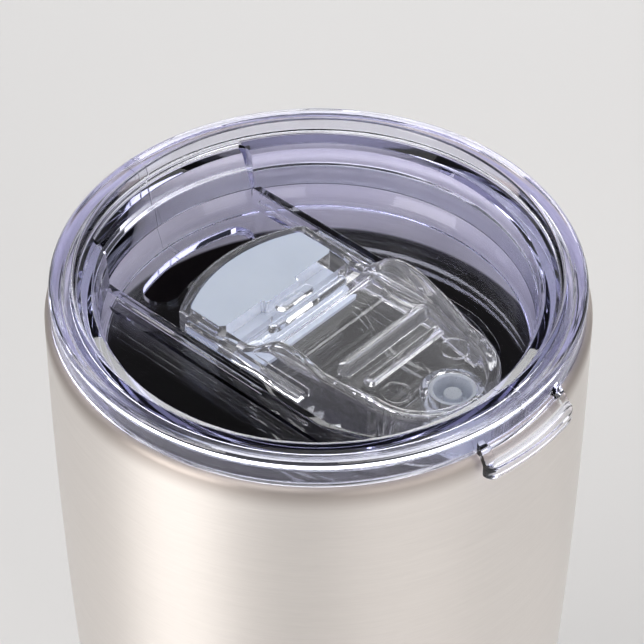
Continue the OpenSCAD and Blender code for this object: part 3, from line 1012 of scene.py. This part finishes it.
def vent_plug():
    """The hollow button over the vent, with a pin inside it."""
    low, wall_r = SLIDER_Z + 0.02, BOSS_R - 0.02
    bore_floor, pin_top = SLIDER_Z + 2.6, BOSS_TOP - 0.8
    profile = rounded([
        (0, low, 0), (BOSS_FOOT_R, low, 0.15), (BOSS_FOOT_R, SLIDER_Z + 0.95, 0.15),
        (wall_r, SLIDER_Z + 1.0, 0), (wall_r, BOSS_TOP, 0.3), (BOSS_BORE_R, BOSS_TOP, 0.2),
        (BOSS_BORE_R, bore_floor, 0.3), (PIN_R, bore_floor, 0.3), (PIN_R, pin_top, 0.25), (0, pin_top, 0),
    ])
    verts, faces = revolve(profile, 96)
    obj = put("vent_plug_looks", verts + np.array([BOSS_X, 0, 0]), faces)
    return finish_piece(obj, "closure", "frosted_silicone", FROSTED_SILICONE, "vent_plug")


# ---- Frame nodes that keep their shape ----


def repaint(node, material):
    """A better material for a node that keeps its CAD mesh."""
    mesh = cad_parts[node].data
    mesh.materials.clear()
    mesh.materials.append(material)


outer_shell()
inner_liner()
lid()
gasket()
slider()
slot_seal()
vent_plug()
for node in ("base_pan", "getter_cup", "base_cap"):
    repaint(node, PLAIN_STEEL)
repaint("evacuation_bead", SOLDER)
repaint("getter_pellet", GETTER)


# ---- Studio ----


def floor():
    """A wide sheet of paper just under the cup."""
    half = 3.0
    below = -0.0001
    n = 9
    mesh = bpy.data.meshes.new("studio_floor")
    steps = np.linspace(-half, half, n)
    verts = [(x, y, below) for x in steps for y in steps]
    corners = [n * i + j for i in range(n - 1) for j in range(n - 1)]
    faces = [(c, c + n, c + n + 1, c + 1) for c in corners]
    mesh.from_pydata(verts, [], faces)
    obj = bpy.data.objects.new("studio_floor", mesh)
    bpy.context.scene.collection.objects.link(obj)
    obj.data.materials.append(floor_paper())


VIEW_AZIMUTH = 42.7
VIEW_ELEVATION = 42.0
VIEW_DISTANCE = 0.46239
VIEW_FOCAL = 159.3
AIM = Vector((0, 0, (LIP - 5.37) * MM))


def direction(azimuth, elevation):
    """A unit vector from the lid towards a place at these angles, in degrees."""
    a, e = math.radians(azimuth), math.radians(elevation)
    return Vector((math.sin(a) * math.cos(e), -math.cos(a) * math.cos(e), math.sin(e)))


def camera():
    """The camera, in front of the lid and above it."""
    lens = bpy.data.cameras.new("camera")
    lens.lens = VIEW_FOCAL
    lens.sensor_width = 36
    lens.shift_x = 0.0053
    lens.clip_start = 0.01
    obj = bpy.data.objects.new("camera", lens)
    back = direction(VIEW_AZIMUTH, VIEW_ELEVATION)
    obj.location = AIM + back * VIEW_DISTANCE
    obj.rotation_mode = "QUATERNION"
    obj.rotation_quaternion = (-back).to_track_quat("-Z", "Y")
    bpy.context.scene.collection.objects.link(obj)
    bpy.context.scene.camera = obj


def softbox(name, azimuth, elevation, distance, width, height, power, colour=(1, 1, 1)):
    """A soft rectangular light, in metres and watts, that faces the lid."""
    lamp = bpy.data.lights.new(name, "AREA")
    lamp.shape = "RECTANGLE"
    lamp.size = width
    lamp.size_y = height
    lamp.energy = power
    lamp.color = colour
    obj = bpy.data.objects.new(name, lamp)
    back = direction(azimuth, elevation)
    obj.location = AIM + back * distance
    obj.rotation_mode = "QUATERNION"
    obj.rotation_quaternion = (-back).to_track_quat("-Z", "Y")
    bpy.context.scene.collection.objects.link(obj)


def studio():
    """A dim room that is brighter at the horizon and overhead, and the softboxes."""
    world = bpy.data.worlds.new("studio")
    bpy.context.scene.world = world
    world.use_nodes = True
    tree = world.node_tree
    back = tree.nodes["Background"]
    place = tree.nodes.new("ShaderNodeTexCoord")
    parts = tree.nodes.new("ShaderNodeSeparateXYZ")
    tree.links.new(place.outputs["Generated"], parts.inputs[0])
    ramp = tree.nodes.new("ShaderNodeValToRGB")
    stops = [(0.0, 0.6), (0.12, 0.55), (0.42, 0.05), (0.8, 0.05), (1.0, 0.25)]
    while len(ramp.color_ramp.elements) < len(stops):
        ramp.color_ramp.elements.new(0.5)
    for element, (at, grey) in zip(ramp.color_ramp.elements, stops):
        element.position = at
        element.color = (grey * 0.95, grey * 0.97, grey, 1)
    tree.links.new(parts.outputs["Z"], ramp.inputs["Fac"])
    tree.links.new(ramp.outputs["Color"], back.inputs["Color"])
    back.inputs["Strength"].default_value = 1.0
    softbox("top_softbox", VIEW_AZIMUTH + 137, 74, 1.2, 1.1, 1.1, 3.4)
    softbox("left_softbox", VIEW_AZIMUTH - 52, 14, 1.0, 0.6, 0.5, 4.5, (1.0, 0.97, 0.94))
    softbox("front_softbox", VIEW_AZIMUTH + 32, 22, 1.2, 1.0, 0.5, 3.9, (1.0, 0.97, 0.95))
    softbox("front_top_softbox", VIEW_AZIMUTH - 35, 62, 1.1, 0.7, 0.7, 3.2)
    softbox("left_back_softbox", VIEW_AZIMUTH - 115, 40, 1.1, 0.8, 0.8, 2.0)
    softbox("right_softbox", VIEW_AZIMUTH + 92, 45, 1.1, 0.7, 0.7, 3.0)
    softbox("back_softbox", VIEW_AZIMUTH + 170, 19, 1.2, 0.9, 0.4, 7)
    bpy.context.scene.view_settings.view_transform = "Standard"
    cycles = bpy.context.scene.cycles
    cycles.max_bounces = 20
    cycles.transmission_bounces = 18
    cycles.transparent_max_bounces = 16


floor()
camera()
studio()
